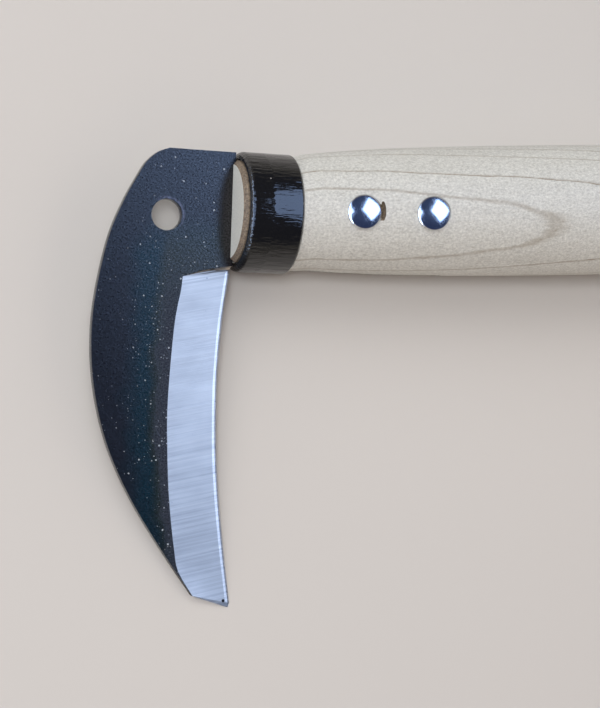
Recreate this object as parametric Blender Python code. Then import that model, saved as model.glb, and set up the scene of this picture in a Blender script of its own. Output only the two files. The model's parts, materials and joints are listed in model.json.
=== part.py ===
"""Small hand sickle with a flat blade held in a slit wooden handle by a ferrule and two rivets.

Metres, +Z up. The sickle lies on its side: the handle runs along +X, the blade points to -Y,
and it rests on the blade's tip and the two rivet caps. The origin is the bottom centre of its box.
"""

import math

import bmesh
import bpy
import numpy as np
from mathutils import Matrix, Vector

MM = 0.001
GAP = 0.3 * MM  # left between pieces that touch on the real tool

# The blade and ferrule, called the head, sit a little askew on the handle.
HEAD_SET = math.radians(-3.8)
HEAD_PIVOT = 7.0 * MM
MOST_TILT = math.radians(25)  # the search for how it lies stops here

# Blade, seen from its ground side. X = 0 is the ferrule's front rim, Y = 0 the ferrule's axis.
BLADE_THICK = 2.4 * MM
ROOT_X = -0.4 * MM
ROOT_TOP = 14.7 * MM
ROOT_HEEL = -13.6 * MM
BACK_CORNER = [(-17.5, 14.8), (-20.4, 13.6), (-22.8, 11.5), (-23.9, 10.1)]
BACK = [(-23.9, 10.1), (-28.5, 1.4), (-32.3, -8.7), (-35.1, -23.6), (-35.5, -35.8),
        (-33.9, -48.0), (-30.2, -60.2), (-24.1, -72.3), (-16.0, -84.5), (-7.8, -95.6)]
BEVEL_LINE = [(-13.1, -16.8), (-13.4, -20.2), (-14.8, -29.1), (-15.8, -47.4),
              (-15.5, -59.7), (-14.6, -72.0), (-12.9, -84.3), (-11.6, -89.7), (-7.8, -95.6)]
CUTTING_EDGE = [(-0.5, -14.7), (-1.1, -19.5), (-2.1, -28.6), (-2.8, -43.0),
                (-2.4, -59.5), (-1.3, -71.9), (0.3, -84.3), (2.3, -97.4)]
RUN_OUT = [(-13.1, -16.8), (-8.5, -15.1), (-3.7, -14.1), (-0.4, -13.6)]
TIP_CORNER = (1.9, -98.5)
EDGE_THICK = 0.25 * MM
HONED_WIDTH = 1.1 * MM
HONED_THICK = 0.55 * MM
HOLE_CENTRE = (-17.7 * MM, -1.75 * MM)
HOLE_DIAMETER = 7.75 * MM
TANG_WIDTH = 20.0 * MM
TANG_END_WIDTH = 16.0 * MM
TANG_Y = 0.4 * MM
TANG_END = 54.5 * MM
TANG_CORNER = 3.0 * MM

# Ferrule: a drawn steel ring with its front edge turned in.
FERRULE_LENGTH = 13.5 * MM
FERRULE_RADIUS = 15.0 * MM
FERRULE_BORE = 14.1 * MM
FERRULE_LIP_RADIUS = 13.1 * MM
FERRULE_LIP = 1.2 * MM
FERRULE_FRONT_ROUND = 1.5 * MM
FERRULE_BACK_ROUND = 0.6 * MM

# Handle: distance behind the ferrule's front rim, and radius.
NOSE_X = -1.1 * MM
NOSE_RADIUS = 12.3 * MM
NOSE_CHAMFER = 1.0 * MM
SHOULDER_X = FERRULE_LENGTH + GAP
HANDLE_PROFILE = [(18.0, 14.6), (22.0, 14.95), (28.0, 15.4), (35.0, 15.82), (44.5, 16.2),
                  (56.0, 16.5), (72.0, 16.75), (95.0, 16.9), (115.0, 16.6), (130.0, 15.9),
                  (141.0, 14.7)]
BUTT_X = 148.5 * MM
BUTT_ROUND = 6.0 * MM
BUTT_RADIUS = 13.9 * MM
KERF = BLADE_THICK + 2 * GAP
KERF_END = TANG_END + 2 * GAP

# Rivets: two-part, a capped sleeve from the front and a capped post from the back.
RIVETS = [("front", 29.1 * MM, -0.9 * MM), ("rear", 47.1 * MM, -1.5 * MM)]
CAP_RADIUS = 4.3 * MM
CAP_HEIGHT = 1.5 * MM
CAP_BRIM = 0.45 * MM
CAP_SEAT = 0.7 * MM  # depth of the flat seat below the wood's crown
SLEEVE_RADIUS = 2.5 * MM
POST_RADIUS = 1.5 * MM
RIVET_BASE_TO_END = 6.0 * MM

ROUND_STEPS = 64
RIVET_STEPS = 32


def clear_scene():
    for obj in list(bpy.data.objects):
        bpy.data.objects.remove(obj, do_unlink=True)


def material(name, colour, roughness, metallic):
    made = bpy.data.materials.new(name)
    made.use_nodes = True
    shader = made.node_tree.nodes["Principled BSDF"]
    shader.inputs["Base Color"].default_value = (*colour, 1.0)
    shader.inputs["Roughness"].default_value = roughness
    shader.inputs["Metallic"].default_value = metallic
    made.diffuse_color = (*colour, 1.0)
    return made


def make_object(name, bm, finish, parent, sharp_angle=math.radians(35)):
    """One closed body from a bmesh, smooth where it is round."""
    bmesh.ops.recalc_face_normals(bm, faces=bm.faces)
    mesh = bpy.data.meshes.new(name)
    bm.to_mesh(mesh)
    bm.free()
    mesh.shade_smooth()
    mesh.set_sharp_from_angle(angle=sharp_angle)
    mesh.materials.append(finish)
    obj = bpy.data.objects.new(name, mesh)
    obj.parent = parent
    bpy.context.scene.collection.objects.link(obj)
    return obj


def make_cutter(name, bm, parent):
    cutter = make_object(name, bm, None, parent)
    cutter.data.materials.clear()
    cutter.hide_render = True
    cutter.display_type = "WIRE"
    return cutter


def cut(obj, cutter):
    boolean = obj.modifiers.new("Cut " + cutter.name, "BOOLEAN")
    boolean.operation = "DIFFERENCE"
    boolean.solver = "EXACT"
    boolean.object = cutter


def smooth_curve(points, steps):
    """Points along a Catmull-Rom curve through the given ones, in millimetres."""
    knots = [np.array(p, float) for p in points]
    knots = [2 * knots[0] - knots[1], *knots, 2 * knots[-1] - knots[-2]]
    out = []
    for i in range(1, len(knots) - 2):
        a, b, c, d = knots[i - 1 : i + 3]
        for s in range(steps):
            t = s / steps
            out.append(0.5 * (2 * b + (c - a) * t + (2 * a - 5 * b + 4 * c - d) * t**2
                              + (3 * b - a - 3 * c + d) * t**3))
    out.append(knots[-2])
    return [tuple(p * MM) for p in out]


def even_curve(points, count):
    """The same curve, as count points at even distances along it."""
    dense = np.array(smooth_curve(points, 40))
    along = np.concatenate([[0.0], np.cumsum(np.linalg.norm(np.diff(dense, axis=0), axis=1))])
    at = np.linspace(0.0, along[-1], count)
    return [(float(np.interp(s, along, dense[:, 0])), float(np.interp(s, along, dense[:, 1])))
            for s in at]


def revolve(bm, profile, steps, place=None):
    """A closed ring of the (x, radius) profile about X. Radius 0 closes an end to a point."""
    place = place or (lambda x, point: point)
    rings = []
    for x, radius in profile:
        if radius == 0.0:
            rings.append([bm.verts.new(place(x, Vector((x, 0.0, 0.0))))])
            continue
        turns = [2 * math.pi * i / steps for i in range(steps)]
        rings.append([bm.verts.new(place(x, Vector((x, radius * math.cos(a), radius * math.sin(a)))))
                      for a in turns])
    return rings


def skin(bm, first, second):
    """Faces between two rings, or between a ring and a point."""
    count = max(len(first), len(second))
    for i in range(count):
        j = (i + 1) % count
        corners = [first[i % len(first)], first[j % len(first)],
                   second[j % len(second)], second[i % len(second)]]
        unique = list(dict.fromkeys(corners))
        if len(unique) > 2:
            bm.faces.new(unique)


def turned(profile, steps, closed=False, place=None):
    """A turned body: capped at both ends, or, when closed, a ring whose profile joins up."""
    bm = bmesh.new()
    rings = revolve(bm, profile, steps, place)
    for first, second in zip(rings, rings[1:]):
        skin(bm, first, second)
    if closed:
        skin(bm, rings[-1], rings[0])
        return bm
    for end in (rings[0], rings[-1]):
        if len(end) > 1:
            bm.faces.new(end)
    return bm


def arc(centre_x, centre_r, radius, start, end, count):
    """Points (x, r) along an arc; angles in degrees from the -X direction towards +r."""
    turn = np.radians(np.linspace(start, end, count))
    return [(centre_x - radius * math.cos(a), centre_r + radius * math.sin(a)) for a in turn]


def box(low, high):
    bm = bmesh.new()
    size = Vector(high) - Vector(low)
    middle = (Vector(high) + Vector(low)) / 2
    bmesh.ops.create_cube(bm, size=1.0, matrix=Matrix.Translation(middle) @ Matrix.Diagonal((*size, 1)))
    return bm


def rod(radius, low, high, centre, steps):
    """A cylinder along Z."""
    bm = bmesh.new()
    place = Matrix.Translation((centre[0], centre[1], (low + high) / 2))
    bmesh.ops.create_cone(bm, cap_ends=True, segments=steps, radius1=radius, radius2=radius,
                          depth=high - low, matrix=place)
    return bm


def handle_radius(x):
    """The barrel's radius where its profile is turned."""
    curve = smooth_curve(HANDLE_PROFILE, 6)
    return float(np.interp(x, [p[0] for p in curve], [p[1] for p in curve]))


def to_handle(x, point):
    """Carries a point of the head's own frame into the handle's."""
    turn = Matrix.Rotation(HEAD_SET, 4, "Z")
    pivot = Vector((HEAD_PIVOT, 0.0, 0.0))
    return turn @ (point - pivot) + pivot


def tang_outline():
    """The tang's outline from the heel side of its root round to the back side."""
    half, end_half = TANG_WIDTH / 2, TANG_END_WIDTH / 2
    corners = [(TANG_END - TANG_CORNER, TANG_Y - end_half + TANG_CORNER, -90, 0),
               (TANG_END - TANG_CORNER, TANG_Y + end_half - TANG_CORNER, 0, 90)]
    points = [(ROOT_X, TANG_Y - half)]
    for x, y, start, end in corners:
        for turn in np.radians(np.linspace(start, end, 5)):
            points.append((x + TANG_CORNER * math.cos(turn), y + TANG_CORNER * math.sin(turn)))
    return points + [(ROOT_X, TANG_Y + half)]


def make_blade(parent, finish):
    """Flat forging: back, one-sided bevel on the inner curve, hanging hole and tang."""
    top, bottom = BLADE_THICK / 2, -BLADE_THICK / 2
    stations = 36
    bevel = even_curve(BEVEL_LINE, stations)
    edge = even_curve(CUTTING_EDGE, stations)
    run_out = even_curve(RUN_OUT, 10)
    corner = smooth_curve(BACK_CORNER, 4)
    back = smooth_curve(BACK, 6)
    rest = [*tang_outline(), (ROOT_X, ROOT_TOP), *corner[:-1], *back[:-1]]

    bm = bmesh.new()

    def row(points, height):
        return [bm.verts.new((x, y, height)) for x, y in points]

    def strip(first, second):
        for a, b, c, d in zip(first, first[1:], second[1:], second):
            bm.faces.new((a, b, c, d))

    honed = []
    for (bx, by), (ex, ey) in zip(bevel, edge):
        back_to_edge = Vector((ex - bx, ey - by))
        inset = back_to_edge.normalized() * HONED_WIDTH
        honed.append((ex - inset.x, ey - inset.y))
    foot = []
    for i, (x, y) in enumerate(run_out):
        share = i / (len(run_out) - 1)
        start, end = Vector(bevel[0]), Vector(honed[0])
        foot.append(start.lerp(end, share))

    rest_top, rest_bottom = row(rest, top), row(rest, bottom)
    bevel_top = row(bevel, top)
    run_top = row(run_out[1:], top)
    honed_row = row(honed, bottom + HONED_THICK)
    edge_top, edge_bottom = row(edge, bottom + EDGE_THICK), row(edge, bottom)
    heel_bottom = bm.verts.new((*run_out[-1], bottom))
    corner_top = bm.verts.new((TIP_CORNER[0] * MM, TIP_CORNER[1] * MM, bottom + EDGE_THICK))
    corner_bottom = bm.verts.new((TIP_CORNER[0] * MM, TIP_CORNER[1] * MM, bottom))
    tip_bottom = bm.verts.new((*bevel[-1], bottom))
    depth = BLADE_THICK - HONED_THICK
    foot_row = [bm.verts.new((p.x, p.y, top - depth * (i + 1) / (len(foot) - 1)))
                for i, p in enumerate(foot[1:-1])]

    run_row = [bevel_top[0], *run_top]
    foot_full = [bevel_top[0], *foot_row, honed_row[0]]
    bm.faces.new([*rest_top, *reversed(bevel_top), *run_top])
    bm.faces.new([*rest_bottom, tip_bottom, corner_bottom, *reversed(edge_bottom), heel_bottom])
    strip(rest_top, rest_bottom)
    strip([rest_top[-1], bevel_top[-1]], [rest_bottom[-1], tip_bottom])
    bm.faces.new((run_row[0], run_row[1], foot_full[1]))
    strip(run_row[1:], foot_full[1:])
    bm.faces.new((bevel_top[1], *foot_full, honed_row[1]))
    strip(bevel_top[1:], honed_row[1:])
    strip(honed_row, edge_top)
    strip(edge_top, edge_bottom)
    bm.faces.new((run_row[-1], honed_row[0], edge_top[0]))
    bm.faces.new((run_row[-1], edge_top[0], edge_bottom[0], heel_bottom))
    bm.faces.new((rest_top[0], run_row[-1], heel_bottom, rest_bottom[0]))
    bm.faces.new((bevel_top[-1], honed_row[-1], corner_top))
    bm.faces.new((honed_row[-1], edge_top[-1], corner_top))
    bm.faces.new((edge_top[-1], corner_top, corner_bottom, edge_bottom[-1]))
    bm.faces.new((bevel_top[-1], corner_top, corner_bottom, tip_bottom))
    bm.normal_update()
    bmesh.ops.triangulate(bm, faces=[f for f in bm.faces if len(f.verts) > 4])

    blade = make_object("blade", bm, finish, parent, math.radians(12))
    reach = 4 * BLADE_THICK
    cut(blade, make_cutter("hang_hole_cutter",
                           rod(HOLE_DIAMETER / 2, -reach, reach, HOLE_CENTRE, 48), parent))
    from_handle = Matrix.Rotation(-HEAD_SET, 4, "Z")
    pivot = Vector((HEAD_PIVOT, 0.0, 0.0))
    for name, x, y in RIVETS:
        at = from_handle @ (Vector((x, y, 0.0)) - pivot) + pivot
        cut(blade, make_cutter("tang_hole_cutter_" + name,
                               rod(SLEEVE_RADIUS + GAP, -reach, reach, at, RIVET_STEPS), parent))
    return blade


def make_ferrule(parent, finish):
    front, behind = FERRULE_FRONT_ROUND, FERRULE_BACK_ROUND
    lip_round = 0.35 * MM
    profile = [(FERRULE_LIP, FERRULE_LIP_RADIUS), (lip_round, FERRULE_LIP_RADIUS),
               (0.0, FERRULE_LIP_RADIUS + lip_round)]
    profile += arc(front, FERRULE_RADIUS - front, front, 0, 90, 6)
    profile += arc(FERRULE_LENGTH - behind, FERRULE_RADIUS - behind, behind, 90, 180, 4)
    profile += [(FERRULE_LENGTH, FERRULE_BORE), (FERRULE_LIP, FERRULE_BORE)]
    return make_object("ferrule", turned(profile, ROUND_STEPS, closed=True), finish, parent)


def make_handle(parent, finish):
    """Turned barrel, necked for the ferrule, slit for the tang and drilled for the rivets."""
    lip_room = FERRULE_LIP_RADIUS - GAP
    neck = FERRULE_BORE - GAP
    head = [(NOSE_X, NOSE_RADIUS), (NOSE_X + NOSE_CHAMFER, lip_room),
            (FERRULE_LIP + GAP, lip_room), (FERRULE_LIP + GAP, neck),
            (SHOULDER_X, neck), (SHOULDER_X, 14.25 * MM)]
    barrel = smooth_curve(HANDLE_PROFILE, 2)
    butt = arc(BUTT_X - BUTT_ROUND, BUTT_RADIUS - BUTT_ROUND, BUTT_ROUND, 100, 180, 7)
    profile = head + barrel + butt
    last_in_head = SHOULDER_X + 0.1 * MM

    def place(x, point):
        return to_handle(x, point) if x < last_in_head else point

    handle = make_object("handle", turned(profile, ROUND_STEPS, place=place), finish, parent)
    wide = 2 * FERRULE_RADIUS
    kerf = box((-wide, -wide, -KERF / 2), (KERF_END, wide, KERF / 2))
    cut(handle, make_cutter("kerf_cutter", kerf, parent))
    for name, x, y in RIVETS:
        seat = handle_radius(x) - CAP_SEAT
        bore = rod(SLEEVE_RADIUS + GAP, -2 * seat, 2 * seat, (x, y), RIVET_STEPS)
        cut(handle, make_cutter("rivet_hole_cutter_" + name, bore, parent))
        for side, low, high in (("top", seat, 2 * seat), ("under", -2 * seat, -seat)):
            pocket = rod(CAP_RADIUS + GAP, low, high, (x, y), RIVET_STEPS)
            cut(handle, make_cutter("seat_cutter_" + name + "_" + side, pocket, parent))
    return handle


def cap_profile(base):
    """A shallow domed head from its top centre to its underside, along +X from the base."""
    rise = CAP_HEIGHT - CAP_BRIM
    radius = (CAP_RADIUS**2 + rise**2) / (2 * rise)
    centre = base + CAP_BRIM + rise - radius
    half = math.asin(CAP_RADIUS / radius)
    points = [(base + CAP_HEIGHT, 0.0)]
    for i in range(1, 8):
        turn = half * i / 7
        points.append((centre + radius * math.cos(turn), radius * math.sin(turn)))
    return points + [(base, CAP_RADIUS)]


def upright(obj, x, y, flip):
    """Stands a body turned about X along Z, at the rivet's place."""
    turn = Matrix.Rotation(math.radians(90 if flip else -90), 4, "Y")
    obj.matrix_local = Matrix.Translation((x, y, 0.0)) @ turn


def make_rivet(name, x, y, parent, finish):
    base = handle_radius(x) - CAP_SEAT + GAP
    sleeve_end = -base + CAP_BRIM + GAP
    bore = POST_RADIUS + GAP
    sleeve = [*cap_profile(base), (base, SLEEVE_RADIUS), (sleeve_end, SLEEVE_RADIUS),
              (sleeve_end, bore), (base - RIVET_BASE_TO_END, bore),
              (base - RIVET_BASE_TO_END, 0.0)]
    front = make_object("rivet_sleeve_" + name, turned(sleeve, RIVET_STEPS), finish, parent)
    upright(front, x, y, False)
    post_end = -(base - RIVET_BASE_TO_END - 2 * GAP)
    post = [*cap_profile(base), (base, POST_RADIUS), (post_end, POST_RADIUS), (post_end, 0.0)]
    behind = make_object("rivet_post_" + name, turned(post, RIVET_STEPS), finish, parent)
    upright(behind, x, y, True)
    return front, behind


def points_of(obj, frame):
    """The evaluated mesh's points in the sickle's own frame, one row each."""
    evaluated = obj.evaluated_get(bpy.context.evaluated_depsgraph_get())
    mesh = evaluated.to_mesh()
    place = frame.inverted() @ evaluated.matrix_world
    points = np.array([place @ v.co for v in mesh.vertices])
    evaluated.to_mesh_clear()
    return points


def bisect(low, high, is_low):
    """The value between low and high where is_low turns from true to false."""
    for _ in range(40):
        middle = (low + high) / 2
        if is_low(middle):
            low = middle
        else:
            high = middle
    return (low + high) / 2


def lie_down(sickle, blade, front_cap, rear_cap, nodes):
    """Rests the sickle on its blade's tip and both under caps, its box centred over the origin."""
    bpy.context.view_layer.update()
    frame = sickle.matrix_world.copy()
    points = {node: points_of(node, frame) for node in nodes}

    def turned_by(pitch, roll):
        return Matrix.Rotation(-pitch, 3, "Y") @ Matrix.Rotation(roll, 3, "X")

    def lowest(node, pitch, roll):
        return (points[node] @ np.array(turned_by(pitch, roll))[2]).min()

    def roll_for(pitch):
        return bisect(0.0, MOST_TILT,
                      lambda roll: lowest(blade, pitch, roll) > lowest(rear_cap, pitch, roll))

    def front_is_high(pitch):
        roll = roll_for(pitch)
        return lowest(front_cap, pitch, roll) > lowest(rear_cap, pitch, roll)

    pitch = bisect(0.0, MOST_TILT, front_is_high)
    turn = turned_by(pitch, roll_for(pitch))
    everything = np.concatenate(list(points.values())) @ np.array(turn).T
    low, high = everything.min(axis=0), everything.max(axis=0)
    middle = (low + high) / 2
    sickle.matrix_world = Matrix.Translation((-middle[0], -middle[1], -low[2])) @ turn.to_4x4()
    bpy.context.view_layer.update()


def main():
    clear_scene()
    black_steel = material("black_steel", (0.035, 0.045, 0.065), 0.45, 0.8)
    black_paint = material("black_paint", (0.012, 0.012, 0.014), 0.2, 0.0)
    wood = material("pale_wood", (0.56, 0.52, 0.44), 0.6, 0.0)
    plated = material("plated_steel", (0.75, 0.77, 0.8), 0.12, 1.0)

    sickle = bpy.data.objects.new("sickle", None)
    head = bpy.data.objects.new("head", None)
    for empty in (sickle, head):
        bpy.context.scene.collection.objects.link(empty)
    head.parent = sickle
    pivot = Matrix.Translation((HEAD_PIVOT, 0.0, 0.0))
    head.matrix_local = pivot @ Matrix.Rotation(HEAD_SET, 4, "Z") @ pivot.inverted()

    blade = make_blade(head, black_steel)
    ferrule = make_ferrule(head, black_paint)
    handle = make_handle(sickle, wood)
    rivets = [make_rivet(name, x, y, sickle, plated) for name, x, y in RIVETS]
    sleeves, posts = zip(*rivets)
    lie_down(sickle, blade, *posts, [blade, ferrule, handle, *sleeves, *posts])


main()
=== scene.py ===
import json
import math

import bmesh
import bpy
from mathutils import Matrix, Vector


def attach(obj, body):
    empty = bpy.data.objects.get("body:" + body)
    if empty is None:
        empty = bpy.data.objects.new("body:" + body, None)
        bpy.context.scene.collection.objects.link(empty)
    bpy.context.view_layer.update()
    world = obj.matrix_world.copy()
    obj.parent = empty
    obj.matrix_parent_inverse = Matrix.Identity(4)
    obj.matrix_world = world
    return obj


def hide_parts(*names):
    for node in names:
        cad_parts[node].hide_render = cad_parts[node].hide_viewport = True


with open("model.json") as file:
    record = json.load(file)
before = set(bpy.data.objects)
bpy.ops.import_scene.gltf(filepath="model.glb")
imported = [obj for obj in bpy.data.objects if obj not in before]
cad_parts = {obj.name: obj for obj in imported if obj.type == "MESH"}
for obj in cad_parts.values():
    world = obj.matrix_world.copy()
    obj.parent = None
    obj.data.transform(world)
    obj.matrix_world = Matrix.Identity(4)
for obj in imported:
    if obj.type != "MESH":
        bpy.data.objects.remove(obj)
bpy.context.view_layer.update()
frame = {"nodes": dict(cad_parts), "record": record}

mm = 0.001
weldDistance = 1e-6    # metres
scene = bpy.context.scene
scene.view_settings.view_transform = "Standard"
print("frame loaded:", sorted(frame["nodes"]))


# the tool's own directions come from the record's two flat faces: x runs along the handle
# from the ferrule's front rim, y across it away from the tip, z out of the blade's ground side.
# sizes are in millimetres
layout = {
    "buttX": 148.5,        # from the ferrule's front rim to the flat of the butt
    "headTurn": -3.8,      # degrees that blade and ferrule sit askew on the handle
    "headPivot": 7.0,      # how far behind the rim they turn about
}

mounts = {m["name"]: m for m in frame["record"]["mounts"]}
alongHandle = Vector(mounts["butt_end"]["axis"]).normalized()
outOfBlade = -Vector(mounts["blade_back"]["axis"]).normalized()
acrossHandle = outOfBlade.cross(alongHandle).normalized()
rimCentre = Vector(mounts["butt_end"]["pos_m"]) - alongHandle * layout["buttX"] * mm
toolPlace = Matrix((alongHandle, acrossHandle, outOfBlade)).transposed().to_4x4()
toolPlace.translation = rimCentre
pivotMove = Matrix.Translation((layout["headPivot"] * mm, 0, 0))
askew = Matrix.Rotation(math.radians(layout["headTurn"]), 4, "Z")
headTurn = pivotMove @ askew @ pivotMove.inverted()
headPlace = toolPlace @ headTurn


def selectOnly(piece):
    bpy.ops.object.select_all(action="DESELECT")
    piece.select_set(True)
    bpy.context.view_layer.objects.active = piece


def editMode(piece):
    selectOnly(piece)
    bpy.ops.object.mode_set(mode="EDIT")
    bpy.ops.mesh.select_mode(type="EDGE")


def objectMode():
    bpy.ops.object.mode_set(mode="OBJECT")


def applyModifier(piece, kind, **values):
    selectOnly(piece)
    modifier = piece.modifiers.new(kind.title(), kind)
    for key, value in values.items():
        setattr(modifier, key, value)
    bpy.ops.object.modifier_apply(modifier=modifier.name)


def placePiece(piece, place):
    selectOnly(piece)
    piece.matrix_world = place
    bpy.ops.object.transform_apply(location=True, rotation=True, scale=True)


def smoothShade(piece, degrees):
    selectOnly(piece)
    bpy.ops.object.shade_smooth_by_angle(angle=math.radians(degrees))


def turnedPiece(name, profile, segments, closed=False):
    # a ring is added at the profile's first point, then pulled and scaled from point to point
    x, radius = profile[0]
    bpy.ops.object.select_all(action="DESELECT")
    bpy.ops.mesh.primitive_circle_add(vertices=segments, radius=radius * mm, fill_type="NOTHING",
                                      location=(x * mm, 0, 0), rotation=(0, math.pi / 2, 0))
    piece = bpy.context.object
    piece.name = name
    bpy.ops.object.transform_apply(location=True, rotation=True, scale=True)
    editMode(piece)
    bpy.ops.mesh.select_all(action="SELECT")
    if not closed:
        bpy.ops.mesh.edge_face_add()
        bpy.ops.mesh.select_all(action="SELECT")
        bpy.ops.mesh.select_mode(type="EDGE")
    for nextX, nextRadius in profile[1:]:
        bpy.ops.mesh.extrude_edges_move(
            TRANSFORM_OT_translate={"value": ((nextX - x) * mm, 0, 0)})
        grow = nextRadius / radius
        bpy.ops.transform.resize(value=(1, grow, grow), center_override=(nextX * mm, 0, 0))
        x, radius = nextX, nextRadius
    if not closed:
        bpy.ops.mesh.edge_face_add()
    bpy.ops.mesh.select_all(action="SELECT")
    bpy.ops.mesh.remove_doubles(threshold=weldDistance)
    bpy.ops.mesh.normals_make_consistent(inside=False)
    objectMode()
    return piece


def arcPoints(centreX, centreR, radius, startDegrees, endDegrees, count):
    points = []
    for i in range(count):
        turn = math.radians(startDegrees + (endDegrees - startDegrees) * i / (count - 1))
        points.append((centreX - radius * math.cos(turn), centreR + radius * math.sin(turn)))
    return points


def smoothHeights(knots, x):
    # a smooth curve through (x, height) knots
    last = len(knots) - 2
    i = max(k for k in range(last + 1) if k == 0 or knots[k][0] <= x)
    (x0, y0), (x1, y1) = knots[i], knots[i + 1]

    def slope(k):
        a, b = knots[max(k - 1, 0)], knots[min(k + 1, last + 1)]
        return (b[1] - a[1]) / (b[0] - a[0])

    t, width = (x - x0) / (x1 - x0), x1 - x0
    return ((2 * t**3 - 3 * t**2 + 1) * y0 + (t**3 - 2 * t**2 + t) * width * slope(i)
            + (3 * t**2 - 2 * t**3) * y1 + (t**3 - t**2) * width * slope(i + 1))


def addCutter(shape, **values):
    bpy.ops.object.select_all(action="DESELECT")
    getattr(bpy.ops.mesh, "primitive_" + shape + "_add")(**values)
    return bpy.context.object


def cutWith(piece, cutter, place=Matrix.Identity(4)):
    bpy.context.view_layer.update()
    cutter.matrix_world = place @ cutter.matrix_world
    applyModifier(piece, "BOOLEAN", operation="DIFFERENCE", solver="EXACT", object=cutter)
    bpy.data.objects.remove(cutter)


def drill(piece, middle, radius, depth, segments):
    # a round hole along z, with the drill's middle given in metres
    cutWith(piece, addCutter("cylinder", vertices=segments, radius=radius * mm, depth=depth * mm,
                             location=middle))


def finishPiece(piece, *nodes, slot):
    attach(piece, "root")
    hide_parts(*nodes)


def newMaterial(name):
    made = bpy.data.materials.new(name)
    made.use_nodes = True
    return made, made.node_tree


def feed(tree, socket, value):
    # a link if the value comes out of a node, or else a fixed value
    if isinstance(value, bpy.types.NodeSocket):
        tree.links.new(value, socket)
    elif socket.type == "RGBA":
        socket.default_value = (*value, 1.0)
    else:
        socket.default_value = value


def addNode(tree, kind, inputs=None, **values):
    node = tree.nodes.new(kind)
    for key, value in values.items():
        setattr(node, key, value)
    for key, value in (inputs or {}).items():
        feed(tree, node.inputs[key], value)
    return node


def doMath(tree, operation, a, b):
    return addNode(tree, "ShaderNodeMath", {0: a, 1: b}, operation=operation).outputs[0]


def plus(tree, a, b):
    return doMath(tree, "ADD", a, b)


def minus(tree, a, b):
    return doMath(tree, "SUBTRACT", a, b)


def times(tree, product, *factors):
    for factor in factors:
        product = doMath(tree, "MULTIPLY", product, factor)
    return product


def larger(tree, a, b):
    return doMath(tree, "MAXIMUM", a, b)


def mixColour(tree, factor, a, b, blend="MIX"):
    node = addNode(tree, "ShaderNodeMix", data_type="RGBA", blend_type=blend)
    for key, kind, value in (("Factor", "VALUE", factor), ("A", "RGBA", a), ("B", "RGBA", b)):
        socket = next(s for s in node.inputs if s.name == key and s.type == kind)
        feed(tree, socket, value)
    return next(s for s in node.outputs if s.type == "RGBA")


def grey(tree, value):
    return addNode(tree, "ShaderNodeCombineColor",
                   {"Red": value, "Green": value, "Blue": value}).outputs[0]


def remap(tree, value, fromLow, fromHigh, toLow=0.0, toHigh=1.0, smooth=False):
    return addNode(tree, "ShaderNodeMapRange",
                   {"Value": value, "From Min": fromLow, "From Max": fromHigh,
                    "To Min": toLow, "To Max": toHigh},
                   interpolation_type="SMOOTHSTEP" if smooth else "LINEAR").outputs[0]


def ramp(tree, value, stops):
    node = addNode(tree, "ShaderNodeValToRGB", {"Fac": value})
    elements = node.color_ramp.elements
    while len(elements) < len(stops):
        elements.new(0.5)
    for element, (position, colour) in zip(elements, stops):
        element.position = position
        element.color = (*colour, 1.0)
    return node.outputs["Color"]


def noise(tree, vector, scale, detail, roughness=0.5, distortion=0.0):
    return addNode(tree, "ShaderNodeTexNoise",
                   {"Vector": vector, "Scale": scale, "Detail": detail,
                    "Roughness": roughness, "Distortion": distortion}).outputs["Fac"]


def toolCoordinates(tree, place):
    # object coordinates turned into the tool's own directions, in millimetres
    back = place.inverted()
    coordinates = addNode(tree, "ShaderNodeTexCoord").outputs["Object"]
    turned = addNode(tree, "ShaderNodeMapping",
                     {"Vector": coordinates, "Location": back.translation,
                      "Rotation": back.to_euler("XYZ")}).outputs[0]
    return addNode(tree, "ShaderNodeVectorMath", {0: turned, "Scale": 1 / mm},
                   operation="SCALE").outputs[0]


def splitPlace(tree, vector):
    return addNode(tree, "ShaderNodeSeparateXYZ", {"Vector": vector}).outputs


def stretched(tree, vector, scale=(1, 1, 1), turn=0.0):
    return addNode(tree, "ShaderNodeMapping",
                   {"Vector": vector, "Scale": scale,
                    "Rotation": (0, 0, math.radians(turn))}).outputs[0]


def newMaskGroup(name, *steering):
    # a node group that makes a mask from a place and the named numbers
    group = bpy.data.node_groups.new(name, "ShaderNodeTree")
    group.interface.new_socket("Vector", in_out="INPUT", socket_type="NodeSocketVector")
    for key in steering:
        group.interface.new_socket(key, in_out="INPUT", socket_type="NodeSocketFloat")
    group.interface.new_socket("Mask", in_out="OUTPUT", socket_type="NodeSocketFloat")
    given = group.nodes.new("NodeGroupInput").outputs
    return group, given, group.nodes.new("NodeGroupOutput").inputs["Mask"]


def makeSpeckGroup():
    # small scattered spots, each with its own size
    group, given, mask = newMaskGroup("scatteredSpecks", "Spacing", "Size", "Share")
    scale = doMath(group, "DIVIDE", 1.0, given["Spacing"])
    cells = addNode(group, "ShaderNodeTexVoronoi", {"Vector": given["Vector"], "Scale": scale},
                    voronoi_dimensions="3D")
    distance = times(group, cells.outputs["Distance"], given["Spacing"])
    pick = addNode(group, "ShaderNodeSeparateColor", {"Color": cells.outputs["Color"]})
    size = times(group, given["Size"], pick.outputs["Green"])
    spot = doMath(group, "LESS_THAN", distance, size)
    chosen = doMath(group, "LESS_THAN", pick.outputs["Red"], given["Share"])
    group.links.new(times(group, spot, chosen), mask)
    return group


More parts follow.
